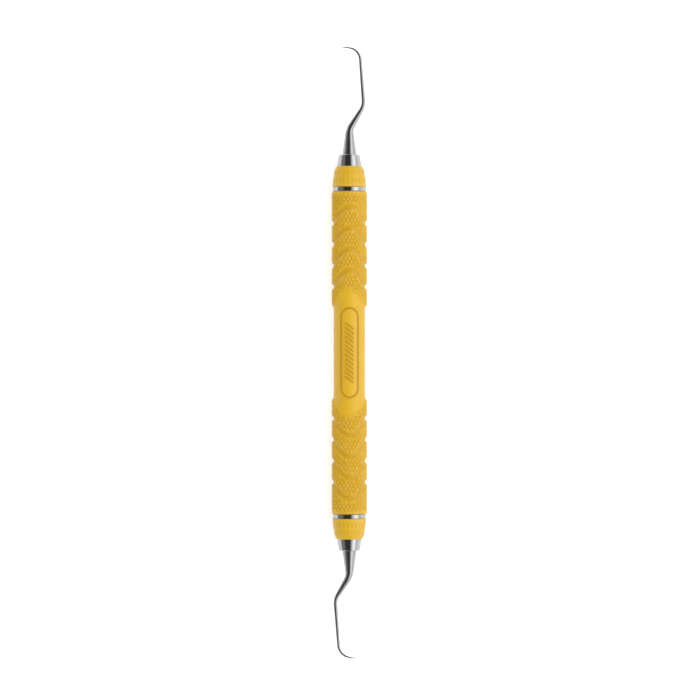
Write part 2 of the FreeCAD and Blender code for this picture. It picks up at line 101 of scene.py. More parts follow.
# Each light's place and size in metres. Seen from above with +X up, -Y is on the right.
LIGHTS = {
    "key": ((0.0, -0.66, 0.58), (1.8, 0.5)),
    "overhead": ((0.0, 0.2, 1.6), (1.6, 1.6)),
    "left_fill": ((0.0, 0.8, 0.5), (1.2, 0.6)),
}
ROOM_DARK = 0.06  # brightness of the room overhead
ROOM_RIGHT = 1.0  # what the right side adds to that
ROOM_LEFT = 0.28  # what the left side adds
RIGHT_RISE = (0.2, 0.34)  # where the right side starts and where it is full, as shares of -Y
LEFT_RISE = (0.62, 0.74)  # the same for the left side, as shares of +Y
SENSOR_WIDTH = 36.0  # of the camera, in millimetres
FAR_CLIP = 20  # metres from the camera

COLOUR_ENDS = (6, 7)  # a Mix node's sockets for two colours
COLOUR_RESULT = 2  # its output for a colour


# ---------------------------------------- sizes and colours that a user would change


def length(name, default_mm, description):
    return FloatProperty(
        name=name, description=description, default=default_mm * MM, unit="LENGTH", precision=5
    )


def power(name, default, description):
    return FloatProperty(name=name, description=description + ", in watts", default=default)


def colour(name, default, description):
    return FloatVectorProperty(
        name=name, description=description, default=default, subtype="COLOR", size=3, min=0, max=1
    )


class GripSizes(bpy.types.PropertyGroup):
    columns: IntProperty(name="Columns", description="Points round the grip", default=216)
    rows: IntProperty(name="Rows", description="Steps along the grip", default=430)
    wave_count: IntProperty(name="Waves", description="Wave grooves on each half", default=4)
    first_wave: length("First wave", 17.7, "From the middle to the nearest wave, at the sides")
    wave_pitch: length("Wave pitch", 5.7, "From one wave to the next")
    wave_rise: length("Wave rise", 4.5, "From a wave's valley at the side to its crest at the front")
    groove_half: length("Groove half width", 0.7, "From the middle of a wave groove to its edge")
    groove_depth: length("Groove depth", 0.36, "Below the floor of the knurl")
    waist_half: length("Waist half length", 12.35, "From the middle to its end at the sides")
    waist_radius: length("Waist radius", 4.225, "Of the plain middle")
    waist_edge: length("Waist edge", 0.3, "Half the length of the step from the waist to the knurl")
    knurl_height: length("Knurl height", 0.19, "Of the diamonds above the floor between them")
    end_band: length("End band", 0.5, "Of the plain band at each end of the grip")
    end_round: length("End rounding", 0.25, "On the rims of the grip")
    panel_half_length: length("Panel half length", 12.1, "Of the sunk panel")
    panel_half_width: length("Panel half width", 2.45, "Of the sunk panel")
    panel_depth: length("Panel depth", 0.22, "Of the sunk panel")
    panel_edge: length("Panel edge", 0.13, "Half the width of the panel's wall")


class KnurlSizes(bpy.types.PropertyGroup):
    around: IntProperty(name="Diamonds around", description="Diamonds in each ring", default=28)
    ring_pitch: length("Ring pitch", 0.94, "From one ring of diamonds to the next")
    diamond_length: length("Diamond length", 1.88, "Along the handle")
    diamond_width: length("Diamond width", 1.06, "Round the handle")
    groove_margin: length("Groove margin", 0.2, "Inside a groove's edge, over which the diamonds sink")
    waist_margin: length("Waist margin", 0.4, "Beside the waist, over which the diamonds sink")
    end_margin: length("End margin", 1.1, "Kept free at the ends of the grip")
    base_inset: length("Base inset", 0.05, "By which a diamond's base sinks into the grip")


class MarkSizes(bpy.types.PropertyGroup):
    count: IntProperty(name="Bars", description="Slanted bars in the panel", default=13)
    pitch: length("Pitch", 1.2, "From one bar to the next")
    width: length("Width", 0.62, "Of a bar, along the handle")
    reach: length("Reach", 2.2, "Of a bar, across the panel")
    height: length("Height", 0.3, "Of a bar above the panel's floor")
    slant: FloatProperty(
        name="Slant", description="How far a bar leans for each unit across", default=0.7
    )


class ConeSizes(bpy.types.PropertyGroup):
    columns: IntProperty(name="Columns", description="Points round an end cone", default=288)
    rows: IntProperty(name="Rows", description="Steps along an end cone", default=90)
    ribs: IntProperty(name="Ribs", description="Ribs round an end cone", default=24)
    land_radius: length("Land radius", 4.5, "Of the plain land next to the band ring")
    land_end: length("Land end", 0.9, "From the ring to the end of the land")
    low_radius: length("Lower tier radius", 4.45, "Over the ribs next to the land")
    low_end: length("Lower tier end", 2.65, "From the ring to the end of those ribs")
    high_radius: length("Upper tier radius", 4.15, "Over the outer row of ribs")
    high_start: length("Upper tier start", 3.15, "From the ring to where the outer row starts")
    high_end: length("Upper tier end", 4.6, "From the ring to where the outer row ends")
    fall: length("Fall", 0.2, "By which each row of ribs narrows towards the tip")
    nose_radius: length("Nose radius", 3.42, "Of the outer face")
    flute_depth: length("Flute depth", 0.13, "Between two ribs")
    edge: length("Edge", 0.12, "Rounding of the rims")


class RingSizes(bpy.types.PropertyGroup):
    columns: IntProperty(name="Columns", description="Points round a band ring", default=160)
    rows: IntProperty(name="Rows", description="Steps along a band ring", default=28)
    edge: length("Edge", 0.14, "Rounding of the rims")
    crown: length("Crown", 0.03, "By which the middle of a ring stands over its rims")


class ShankSizes(bpy.types.PropertyGroup):
    sides: IntProperty(name="Sides", description="Points round the shank", default=40)
    bend_steps: IntProperty(name="Bend steps", description="Steps round each bend", default=16)
    step: length("Step", 0.16, "From one ring of points to the next")
    seat_depth: length("Seat depth", 0.4, "Of the shank's seat in the collar")
    tang_diameter: length("Tang diameter", 2.2, "Of the part inside the collar")
    tang_length: length("Tang length", 9.5, "Of the part inside the collar")
    base_diameter: length("Base diameter", 3.8, "At the collar")
    neck_diameter: length("Neck diameter", 1.95, "At the first bend")
    slant_diameter: length("Slant diameter", 1.5, "Half way along the slanted run")
    terminal_diameter: length("Terminal diameter", 1.08, "At the start of the terminal shank")
    terminal_end_diameter: length("Terminal end diameter", 0.8, "At the end of the terminal shank")
    tip_root_diameter: length("Tip root diameter", 0.5, "Where the tip leaves its bend")
    tip_diameter: length("Tip diameter", 0.2, "At the point")
    first_bend: length("First bend", 6.9, "Height of the first bend above the collar")
    slant_height: length("Slant height", 6.35, "Of the slanted run, along the handle")
    slant_offset: length("Slant offset", 3.87, "Of the second bend from the axis")
    slant_lean: length("Slant lean", 1.0, "Of the second bend out of the panel's plane")
    terminal_height: length("Terminal height", 14.85, "Of the terminal shank, along the handle")
    terminal_offset: length("Terminal offset", 2.76, "Of the tip bend from the axis")
    terminal_lean: length("Terminal lean", 0.7, "Of the tip bend out of the plane")
    tip_height: length("Tip height", 0.92, "By which the root of the tip climbs")
    tip_reach: length("Tip reach", 3.22, "Of the root of the tip, across the axis")
    tip_lean: length("Tip lean", 0.6, "By which the root of the tip turns back through the plane")
    point_reach: length("Point reach", 1.6, "Of the point beyond the root of the tip")
    point_lean: length("Point lean", 0.2, "By which the point goes on through the plane")
    first_radius: length("First bend radius", 5.0, "Of the first bend")
    second_radius: length("Second bend radius", 4.6, "Of the second bend")
    tip_radius: length("Tip bend radius", 3.4, "Of the tip bend")
    point_radius: length("Point bend radius", 4.0, "Of the slight bend in the tip")


class Finishes(bpy.types.PropertyGroup):
    resin: colour("Resin", (0.57, 0.34, 0.012), "Of the moulded grip and cones")
    # the colour that painted shade darkens the resin towards, in grooves, flutes, panel lines and at the
    # feet of diamonds and bars; random specks use it too
    resin_shade_and_specks: colour("Deep resin", (0.36, 0.17, 0.004), "Of the resin in its grooves")
    resin_pale: colour("Pale resin", (0.62, 0.40, 0.022), "Of the resin where hands have rubbed it")
    steel: colour("Steel", (0.42, 0.42, 0.425), "Of the turned and polished steel")
    drawn_steel: colour("Drawn steel", (0.39, 0.39, 0.395), "Of the shanks")
    tube_steel: colour("Tube steel", (0.45, 0.45, 0.46), "Of the tube inside the grip")
    silicone: colour("Silicone", (0.62, 0.30, 0.20), "Of the sealing rings")
    floor: colour("Floor", (0.9, 0.9, 0.9), "Of the table")


class StageSizes(bpy.types.PropertyGroup):
    lens: FloatProperty(name="Lens", description="Focal length in millimetres", default=180)
    field: length("Field", 189, "Width of what the camera sees at the handle's axis")
    aim_x: length("Aim along", 0.73, "Where the camera looks, along the handle")
    aim_y: length("Aim across", -0.16, "Where the camera looks, across the handle")
    floor_width: length("Floor width", 6000, "Of the table")
    key_power: power("Key power", 2.8, "Of the large light on the right")
    fill_power: power("Fill power", 24.0, "Of the light overhead")
    left_power: power("Left power", 2.0, "Of the light on the left")


# ---------------------------------------- node trees written as expressions


class Wire:
    """An output socket. Arithmetic on it adds Math nodes to its tree."""

    def __init__(self, nodes, socket):
        self.nodes = nodes
        self.socket = socket

    def maths(self, operation, *values):
        node = self.nodes.add("ShaderNodeMath", dict(enumerate(values)), operation=operation)
        return Wire(self.nodes, node.outputs[0])

    def __add__(self, other):
        return self.maths("ADD", self, other)

    def __sub__(self, other):
        return self.maths("SUBTRACT", self, other)

    def __rsub__(self, other):
        return self.maths("SUBTRACT", other, self)

    def __mul__(self, other):
        return self.maths("MULTIPLY", self, other)

    def __truediv__(self, other):
        return self.maths("DIVIDE", self, other)

    def __rtruediv__(self, other):
        return self.maths("DIVIDE", other, self)

    def __mod__(self, other):
        return self.maths("FLOORED_MODULO", self, other)

    def __abs__(self):
        return self.maths("ABSOLUTE", self)

    def __neg__(self):
        return self.maths("MULTIPLY", self, -1)

    def __gt__(self, other):
        return self.maths("GREATER_THAN", self, other)

    def __lt__(self, other):
        return self.maths("LESS_THAN", self, other)

    __radd__ = __add__
    __rmul__ = __mul__

    def cos(self):
        return self.maths("COSINE", self)

    def sin(self):
        return self.maths("SINE", self)

    def root(self):
        return self.maths("SQRT", self)

    def floor(self):
        return self.maths("FLOOR", self)

    def at_least(self, other):
        return self.maths("MAXIMUM", self, other)

    def at_most(self, other):
        return self.maths("MINIMUM", self, other)

    def ramp(self, low, high, smooth=False):
        """0 at low, 1 at high and beyond."""
        share = ((self - low) / (high - low)).at_least(0).at_most(1)
        return share * share * (3 - 2 * share) if smooth else share


class Nodes:
    """A node tree that is added to from plain Python."""

    def __init__(self, tree):
        self.tree = tree

    def add(self, kind, values=None, **settings):
        """Adds a node: its settings first, then its sockets' values or links."""
        node = self.tree.nodes.new(kind)
        for name, setting in settings.items():
            setattr(node, name, setting)
        for name, value in (values or {}).items():
            socket = node.inputs[name]
            if isinstance(value, Wire):
                self.tree.links.new(value.socket, socket)
            elif isinstance(value, bpy.types.NodeSocket):
                self.tree.links.new(value, socket)
            else:
                socket.default_value = value
        return node

    def out(self, kind, values=None, which=0, **settings):
        """The wire that leaves a new node."""
        return Wire(self, self.add(kind, values, **settings).outputs[which])

    def split(self, vector):
        node = self.add("ShaderNodeSeparateXYZ", {0: vector})
        return [Wire(self, socket) for socket in node.outputs]

    def join(self, x, y, z):
        return self.out("ShaderNodeCombineXYZ", {0: x, 1: y, 2: z})


# ---------------------------------------- geometry nodes that grow a plain mesh


def grow(name, recipe, sizes, material, source=None):
    """Makes an object whose node tree takes the sizes, and turns it into a plain mesh."""
    tree = bpy.data.node_groups.new(name, "GeometryNodeTree")
    nodes = Nodes(tree)
    tree.interface.new_socket("Geometry", in_out="INPUT", socket_type="NodeSocketGeometry")
    tree.interface.new_socket("Geometry", in_out="OUTPUT", socket_type="NodeSocketGeometry")
    identifiers = {}
    for label, value in sizes.items():
        kind = "NodeSocketInt" if isinstance(value, int) else "NodeSocketFloat"
        socket = tree.interface.new_socket(label, in_out="INPUT", socket_type=kind)
        identifiers[label] = socket.identifier
    group = tree.nodes.new("NodeGroupInput")
    inputs = {label: Wire(nodes, group.outputs[label]) for label in sizes}
    inputs["source"] = Wire(nodes, group.outputs[0])
    real = nodes.out("GeometryNodeRealizeInstances", {"Geometry": recipe(nodes, inputs)})
    painted = nodes.out("GeometryNodeSetMaterial", {"Geometry": real, "Material": material})
    nodes.add("NodeGroupOutput", {0: painted})
    piece = bpy.data.objects.new(name, source or bpy.data.meshes.new(name))
    bpy.context.scene.collection.objects.link(piece)
    modifier = piece.modifiers.new(name, "NODES")
    modifier.node_group = tree
    for label, value in sizes.items():
        modifier[identifiers[label]] = value
    depsgraph = bpy.context.evaluated_depsgraph_get()
    mesh = bpy.data.meshes.new_from_object(piece.evaluated_get(depsgraph))
    piece.modifiers.remove(modifier)
    piece.data = mesh
    mesh.name = name
    if not mesh.polygons:
        raise RuntimeError(f"{name} has no faces")
    return piece


def numbers(group):
    """Every size in a property group, for a node tree's inputs."""
    names = [name for name in group.bl_rna.properties.keys() if name not in ("rna_type", "name")]
    return {name: getattr(group, name) for name in names}


def settle(piece, slot, *replaced):
    """Fastens a finished piece to the instrument and hides what it stands for."""
    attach(piece, "root")
    if replaced:
        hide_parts(*replaced)


def soften(nodes, geometry):
    """Smooth shading, except across sharp bends."""
    smooth = nodes.out("GeometryNodeSetShadeSmooth", {"Geometry": geometry})
    bend = nodes.out("GeometryNodeInputMeshEdgeAngle")
    return nodes.out(
        "GeometryNodeSetShadeSmooth",
        {"Geometry": smooth, "Selection": bend > math.radians(SHARP_BEND), "Shade Smooth": False},
        domain="EDGE",
    )


def keep(nodes, geometry, name, value, data_type="FLOAT"):
    """Stores a value on the points, for a material to read."""
    return nodes.out(
        "GeometryNodeStoreNamedAttribute",
        {"Geometry": geometry, "Name": name, "Value": value},
        data_type=data_type,
        domain="POINT",
    )


def round_handle(nodes, station, angle, radius):
    """The point at that station along the handle, that angle from the top and that radius."""
    return nodes.join(station, angle.sin() * radius, angle.cos() * radius + AXIS_HEIGHT)


def wrap(nodes, s, surface, crowded=False):
    """A closed tube round the handle's line.

    The surface gives its outer radius, and the painted shade that darkens it in its hollows. The grid has
    two more rows at each end, which close the tube's face and line its bore. Crowded rows lie closer to
    each other near the two rims.
    """
    rows = s["rows"]
    grid = nodes.add(
        "GeometryNodeMeshGrid",
        {"Size X": 1.0, "Size Y": 1.0, "Vertices X": s["columns"] + 1, "Vertices Y": rows + 5},
    )
    across, up, _ = nodes.split(nodes.out("GeometryNodeInputPosition"))
    row = ((up + 0.5) * (rows + 4) + 0.5).floor() - 2
    angle = (across + 0.5) * math.tau
    inside = (row < -0.5).at_least(row > rows + 0.5)
    middle = (row < -1.5).at_least(row > rows + 1.5)
    share = row.at_least(0).at_most(rows) / rows
    if crowded:
        share = (1 - (share * math.pi).cos()) / 2
    station = s["start"] + (s["end"] - s["start"]) * (share * (1 - middle) + 0.5 * middle)
    outer, recess = surface(station, angle, s)
    radius = outer * (1 - inside) + s["bore"] * inside
    # keeps the painted shade on the points, for the resin's material to darken its colour by
    marked = keep(nodes, grid.outputs["Mesh"], "recess", recess)
    places = round_handle(nodes, station, angle, radius)
    shaped = nodes.out("GeometryNodeSetPosition", {"Geometry": marked, "Position": places})
    merged = nodes.out("GeometryNodeMergeByDistance", {"Geometry": shaped, "Distance": SAME_POINT})
    outward = nodes.out("GeometryNodeFlipFaces", {"Mesh": merged})
    turn = nodes.join(0, 0, s["turn"])
    turned = nodes.out("GeometryNodeTransform", {"Geometry": outward, "Rotation": turn})
    return soften(nodes, turned)


def rim_loss(station, s, edge):
    """What a quarter round takes off the radius near the tube's two ends."""
    near = (station - s["start"]).at_most(s["end"] - station).at_least(0)
    short = (edge - near).at_least(0)
    return edge - (edge * edge - short * short).at_least(0).root()


# ---------------------------------------- the grip


def along_wave(station, angle, rise):
    """Distance from the middle of the grip, less what the wave has climbed at that angle."""
    crest = angle.cos()
    return abs(station) - rise * crest * crest


def wave_slope(angle, rise):
    """How much wider a wave is along the handle than square across it."""
    climb = rise * (2 * angle).sin() / GRIP_RADIUS
    return (climb * climb + 1).root()


def groove_distance(station, angle, s):
    """Distance from the nearest wave groove's middle line."""
    along = along_wave(station, angle, s["wave_rise"])
    steps = ((along - s["first_wave"]) / s["wave_pitch"] + 0.5).floor()
    nearest = s["first_wave"] + s["wave_pitch"] * steps.at_least(0).at_most(s["wave_count"] - 1)
    return abs(along - nearest) / wave_slope(angle, s["wave_rise"])


def panel_reach(station, angle, s):
    """Distance from the line that the panels, front and back, are round."""
    beyond = (abs(station) - (s["panel_half_length"] - s["panel_half_width"])).at_least(0)
    aside = angle.sin() * s["waist_radius"]
    return (beyond * beyond + aside * aside).root()


def grip_surface(station, angle, s):
    """The moulded surface without its diamonds: waves, waist, panels and rounded ends, with painted shade
    in its grooves and round its panels.
    """
    band_foot = GRIP_HALF - BAND_FOOT * s["end_band"]
    band = abs(station).ramp(band_foot, GRIP_HALF - s["end_band"], smooth=True)
    floor = GRIP_RADIUS - s["knurl_height"] * (1 - band)
    distance = groove_distance(station, angle, s) / s["groove_half"]
    channel = (1 - distance * distance).at_least(0)
    channel = channel.root() * channel.ramp(0, GROOVE_SHOULDER, smooth=True)
    along = along_wave(station, angle, s["wave_rise"])
    waist = s["waist_half"]
    step = along.ramp(waist - s["waist_edge"], waist + s["waist_edge"], smooth=True)
    grooved = floor - s["groove_depth"] * channel
    waisted = s["waist_radius"] + (grooved - s["waist_radius"]) * step
    reach = panel_reach(station, angle, s)
    edge = s["panel_edge"]
    outside = reach.ramp(s["panel_half_width"] - edge, s["panel_half_width"] + edge, smooth=True)
    # painted shade: a dark line just inside each panel's rim
    wall = 1 - (abs(reach - s["panel_half_width"] + edge) / (PANEL_LINE * edge)).at_most(1)
    # painted shade in the wave grooves, darker where they are deeper, and along the panel line
    recess = (channel * step * GROOVE_PAINTED_SHADE).at_least(wall * PANEL_PAINTED_SHADE)
    return waisted - s["panel_depth"] * (1 - outside) - rim_loss(station, s, s["end_round"]), recess


def grip_recipe(nodes, s):
    """The grip as one closed tube."""
    return wrap(nodes, s, grip_surface)


def knurl_share(station, angle, s):
    """1 where the diamonds stand at their full height, 0 in the grooves and on the waist."""
    half = s["groove_half"]
    waist = s["waist_half"]
    beside_groove = groove_distance(station, angle, s).ramp(half - s["groove_margin"], half)
    past_waist = along_wave(station, angle, s["wave_rise"]).ramp(waist, waist + s["waist_margin"])
    return beside_groove * past_waist


def knurl_recipe(nodes, s):
    """Diamonds in staggered rings, which sink away into the grooves and at the waist."""
    points = nodes.out("GeometryNodePoints", {"Count": s["around"] * s["ring_count"]})
    index = nodes.out("GeometryNodeInputIndex")
    ring = ((index + 0.5) / s["around"]).floor()
    column = index - ring * s["around"]
    angle = (column + 0.5 * (ring % 2)) / s["around"] * math.tau
    station = (ring - (s["ring_count"] - 1) / 2) * s["ring_pitch"]
    base = GRIP_RADIUS - s["knurl_height"] - s["base_inset"]
    places = round_handle(nodes, station, angle, base)
    placed = nodes.out("GeometryNodeSetPosition", {"Geometry": points, "Position": places})
    shown = knurl_share(station, angle, s) > 0.5
    before_end = abs(station) < GRIP_HALF - s["end_margin"]
    block = nodes.out(
        "GeometryNodeMeshCone",
        {
            "Vertices": 4,
            "Side Segments": 2,
            "Radius Top": DIAMOND_TOP,
            "Radius Bottom": DIAMOND_FOOT,
            "Depth": 1.0,
        },
    )
    up = nodes.split(nodes.out("GeometryNodeInputPosition"))[2]
    # painted shade at each diamond's foot, fading to none on its flat top
    marked = keep(nodes, block, "recess", DIAMOND_PAINTED_SHADE - up * DIAMOND_FADE)
    height = s["knurl_height"] + s["base_inset"]
    scale = nodes.join(s["diamond_length"] * 0.5, s["diamond_width"] * 0.5, height)
    sized = nodes.out("GeometryNodeTransform", {"Geometry": marked, "Scale": scale})
    flat = nodes.out("GeometryNodeSetShadeSmooth", {"Geometry": sized, "Shade Smooth": False})
    diamonds = nodes.out(
        "GeometryNodeInstanceOnPoints",
        {
            "Points": placed,
            "Selection": shown * before_end,
            "Instance": flat,
            "Rotation": nodes.join(-angle, 0, 0),
        },
    )
    real = nodes.out("GeometryNodeRealizeInstances", {"Geometry": diamonds})
    x, y, z = nodes.split(nodes.out("GeometryNodeInputPosition"))
    z = z - AXIS_HEIGHT
    turn = y.maths("ARCTAN2", y, z)
    sink = (1 - knurl_share(x, turn, s)) * (height + s["groove_depth"])
    lowered = round_handle(nodes, x, turn, (y * y + z * z).root() - sink)
    return nodes.out("GeometryNodeSetPosition", {"Geometry": real, "Position": lowered})


def mark_recipe(nodes, s):
    """A row of slanted bars, drawn flat and then wrapped on the panel's floor, front and back."""
    line = nodes.out("GeometryNodePoints", {"Count": s["count"]})
    index = nodes.out("GeometryNodeInputIndex")
    places = nodes.join((index - (s["count"] - 1) * 0.5) * s["pitch"], 0, 0)
    spread = nodes.out("GeometryNodeSetPosition", {"Geometry": line, "Position": places})
    size = nodes.join(s["width"], s["reach"], s["height"])
    bar = nodes.add(
        "GeometryNodeMeshCube", {"Size": size, "Vertices X": 3, "Vertices Y": 9, "Vertices Z": 3}
    )
    x, y, z = nodes.split(nodes.out("GeometryNodeInputPosition"))
    top = z / s["height"] + 0.5
    ridge = top * (1 - abs(x) * 2 / s["width"]).at_least(0)
    # painted shade on each bar's sloped sides and foot, none along its top ridge
    marked = keep(nodes, bar.outputs["Mesh"], "recess", BAR_PAINTED_SHADE * (1 - ridge))
    tapered = nodes.join(x * (1 - BAR_TAPER * top), y, z)
    sloped = nodes.out("GeometryNodeSetPosition", {"Geometry": marked, "Position": tapered})
    bars = nodes.out("GeometryNodeInstanceOnPoints", {"Points": spread, "Instance": sloped})
    real = nodes.out("GeometryNodeRealizeInstances", {"Geometry": bars})
    floor = s["waist_radius"] - s["panel_depth"]
    wrapped = round_handle(nodes, x + y * s["slant"], y / floor, floor + z + BAR_LIFT * s["height"])
    front = nodes.out("GeometryNodeSetPosition", {"Geometry": real, "Position": wrapped})
    smooth = soften(nodes, front)
    back = nodes.out(
        "GeometryNodeTransform",
        {"Geometry": smooth, "Translation": (0, 0, 2 * AXIS_HEIGHT), "Rotation": (math.pi, 0, 0)},
    )
    joined = nodes.add("GeometryNodeJoinGeometry")
    for part in (front, back):
        nodes.tree.links.new(part.socket, joined.inputs[0])
    return joined.outputs[0]


# ---------------------------------------- the end cones and band rings


def cone_surface(station, angle, s):
    """Two tiers of ribs on a stepped taper, from the plain land to the nose, with painted shade in the
    flutes between the ribs.
    """
    x = station - s["start"]
    low_foot = s["low_radius"] - s["fall"]
    high_foot = s["high_radius"] - s["fall"]
    land_drop = s["land_radius"] - s["low_radius"]
    low_start = s["land_end"] + land_drop
    radius = s["land_radius"] - land_drop * x.ramp(s["land_end"], low_start, smooth=True)
    radius = radius - s["fall"] * x.ramp(low_start, s["low_end"])
    high_rise = s["high_radius"] - low_foot
    radius = radius + high_rise * x.ramp(s["low_end"], s["high_start"], smooth=True)
    radius = radius - s["fall"] * x.ramp(s["high_start"], s["high_end"])
    radius = radius + (s["nose_radius"] - high_foot) * x.ramp(s["high_end"], s["end"] - s["start"])
    flute = 0.5 - 0.5 * (angle * s["ribs"]).cos()
    depth = bow(x, low_start, s["low_end"]) + bow(x, s["high_start"], s["high_end"])
    cut = flute * depth
    # painted shade in the flutes, darker where they are deeper
    return radius - s["flute_depth"] * cut - rim_loss(station, s, s["edge"]), cut * FLUTE_PAINTED_SHADE


def bow(x, low, high):
    """1 half way from low to high, 0 at both and beyond."""
    share = x.ramp(low, high)
    return (share * (1 - share) * 4).root()


def cone_recipe(nodes, s):
    """An end cone as one closed tube."""
    return wrap(nodes, s, cone_surface)


def ring_surface(station, angle, s):
    """A plain ring, slightly crowned, with rounded rims."""
    share = station.ramp(s["start"], s["end"])
    dip = s["crown"] * (1 - share * (1 - share) * 4)
    return s["radius"] - dip - rim_loss(station, s, s["edge"]), 0.0


def ring_recipe(nodes, s):
    """A band ring as one closed tube."""
    return wrap(nodes, s, ring_surface, crowded=True)


def smooth_copy(node, material):
    """A copy of an engineering piece whose triangles are joined up, so that round faces shade as round."""
    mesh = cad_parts[node].data.copy()
    work = bmesh.new()
    work.from_mesh(mesh)
    bmesh.ops.remove_doubles(work, verts=work.verts, dist=SAME_POINT / 10)
    for face in work.faces:
        face.smooth = True
    for edge in work.edges:
        edge.smooth = not edge.is_manifold or edge.calc_face_angle() < math.radians(COPY_SHARP_BEND)
    work.to_mesh(mesh)
    work.free()
    mesh.materials.clear()
    mesh.materials.append(material)
    piece = bpy.data.objects.new(node + "_finished", mesh)
    bpy.context.scene.collection.objects.link(piece)
    return piece


# ---------------------------------------- the shanks


def shank_corners(end, s):
    """Where the shank's straight runs would meet, and each corner's radius, from tang to point."""
    way = ENDS[end]
    terminal_shift = s.terminal_offset - s.slant_offset
    runs = [
        (s.tang_length + s.seat_depth + s.first_bend, 0, 0, s.first_radius),
        (s.slant_height, s.slant_offset, s.slant_lean, s.second_radius),
        (s.terminal_height, terminal_shift, s.terminal_lean - s.slant_lean, s.tip_radius),
        (s.tip_height, -s.tip_reach, -s.tip_lean, s.point_radius),
        (0, -s.point_reach, -s.point_lean, 0),
    ]
    along, aside, out = COLLAR_END - s.seat_depth - s.tang_length, 0, 0
    corners = [(Vector((way * along, 0, AXIS_HEIGHT)), 0)]
    for climb, shift, lean, radius in runs:
        along, aside, out = along + climb, aside + shift, out + lean
        corners.append((Vector((way * along, -way * aside, AXIS_HEIGHT + way * out)), radius))
    return corners


def bend_distances(corners):
    """For each corner, how far along the rounded line its bend has its middle."""
    points = [point for point, _ in corners]
    middles, gone, trim = [0], 0, 0
    for before, (point, radius), after in zip(points, corners[1:], points[2:]):
        turn = (point - before).angle(after - point)
        cut = radius * math.tan(turn / 2)
        gone += (point - before).length - trim - cut
        middles.append(gone + radius * turn / 2)
        gone += radius * turn
        trim = cut
    middles.append(gone + (points[-1] - points[-2]).length - trim)
    return middles


def shank_marks(corners, s):
    """Where along the shank its radius is given, and that radius, by name."""
    _, neck, terminal, tip_bend, _, tip = bend_distances(corners)
    marks = {
        "tang_end": (0, s.tang_diameter - 2 * TANG_CHAMFER),
        "tang": (TANG_CHAMFER, s.tang_diameter),
        "shoulder_floor": (s.tang_length, s.tang_diameter),
        "shoulder": (s.tang_length + SHOULDER_STEP, s.base_diameter),
        "collar": (s.tang_length + s.seat_depth, s.base_diameter),
        "neck": (neck, s.neck_diameter),
        "slant": ((neck + terminal) / 2, s.slant_diameter),
        "terminal": (terminal, s.terminal_diameter),
        "terminal_end": (tip_bend - s.tip_radius / 2, s.terminal_end_diameter),
        "tip_root": (tip_bend + s.tip_radius / 2, s.tip_root_diameter),
        "point": (tip - POINT_TAPER, s.tip_diameter),
        "point_end": (tip, s.tip_diameter * POINT_SHARE),
    }
    sizes = {}
    for name, (distance, diameter) in marks.items():
        sizes[name + "_at"] = float(distance)
        sizes[name + "_radius"] = float(diameter / 2)
    return sizes


def shank_line(corners):
    """The shank's corners as a mesh line that carries the radius of each bend."""
    mesh = bpy.data.meshes.new("shank_line")
    count = len(corners)
    mesh.from_pydata([point for point, _ in corners], [(i, i + 1) for i in range(count - 1)], [])
    bend = mesh.attributes.new("bend", "FLOAT", "POINT")
    bend.data.foreach_set("value", [radius for _, radius in corners])
    return mesh


def shank_recipe(nodes, s):
    """Rounds the line's corners, then sends a circle that thins out along it."""
    line = nodes.out("GeometryNodeMeshToCurve", {"Mesh": s["source"]})
    bend = nodes.add("GeometryNodeInputNamedAttribute", {"Name": "bend"}, data_type="FLOAT")
    rounded = nodes.out(
        "GeometryNodeFilletCurve",
        {"Curve": line, "Count": s["bend_steps"], "Radius": bend.outputs[0], "Limit Radius": False},
        mode="POLY",
    )
    even = nodes.out(
        "GeometryNodeResampleCurve", {"Curve": rounded, "Length": s["step"]}, mode="LENGTH"
    )
    gone = nodes.out("GeometryNodeSplineParameter", which="Length")
    marks = [label.removesuffix("_at") for label in s if label.endswith("_at")]
    radius = s[marks[0] + "_radius"]
    for near, far in zip(marks, marks[1:]):
        grown = s[far + "_radius"] - s[near + "_radius"]
        radius = radius + grown * gone.ramp(s[near + "_at"], s[far + "_at"])
    marked = keep(nodes, even, "along", gone)
    circle = nodes.out("GeometryNodeCurvePrimitiveCircle", {"Resolution": s["sides"], "Radius": 1.0})
    side = nodes.out("GeometryNodeInputPosition")
    profile = keep(nodes, circle, "side", side, data_type="FLOAT_VECTOR")
    swept = nodes.out(
        "GeometryNodeCurveToMesh",
        {"Curve": marked, "Profile Curve": profile, "Scale": radius, "Fill Caps": True},
    )
    return soften(nodes, swept)


# ---------------------------------------- finishes


class Paint(Nodes):
    """The node tree of a new material, with the nodes that these finishes share."""

    def __init__(self, name):
        self.material = bpy.data.materials.new(name)
        self.material.use_nodes = True
        super().__init__(self.material.node_tree)
        self.tree.nodes.clear()
        self.place = self.out("ShaderNodeTexCoord", which="Object")

    def noise(self, vector, scale, detail=2.0, roughness=0.5):
        """Noise of about 0 to 1, with so many lumps to the metre."""
        return self.out(
            "ShaderNodeTexNoise",
            {"Vector": vector, "Scale": scale, "Detail": detail, "Roughness": roughness},
        )

    def stretched(self, vector, x, y, z):
        return self.out("ShaderNodeVectorMath", {0: vector, 1: (x, y, z)}, operation="MULTIPLY")

    def mix(self, share, one, other):
        """From one colour to the other."""
        sockets = {0: share}
        for socket, end in zip(COLOUR_ENDS, (one, other)):
            sockets[socket] = end if isinstance(end, Wire) else tuple(end) + (1.0,)
        return self.out("ShaderNodeMix", sockets, which=COLOUR_RESULT, data_type="RGBA")

    def darker(self, share, shade, darkest):
        """The colour, and up to that share of the way to so dark a version of it."""
        return self.mix(share, shade, [darkest * part for part in shade])

    def bump(self, height, distance, strength=1.0):
        return self.out(
            "ShaderNodeBump", {"Height": height, "Distance": distance, "Strength": strength}
        )

    def attribute(self, name, which="Fac"):
        return self.out("ShaderNodeAttribute", which=which, attribute_name=name)

    def coat(self, **values):
        """Ends the tree in a Principled shader with those sockets, named with underscores."""
        sockets = {name.replace("_", " "): value for name, value in values.items()}
        shader = self.out("ShaderNodeBsdfPrincipled", sockets)
        self.add("ShaderNodeOutputMaterial", {"Surface": shader})
        return self.material


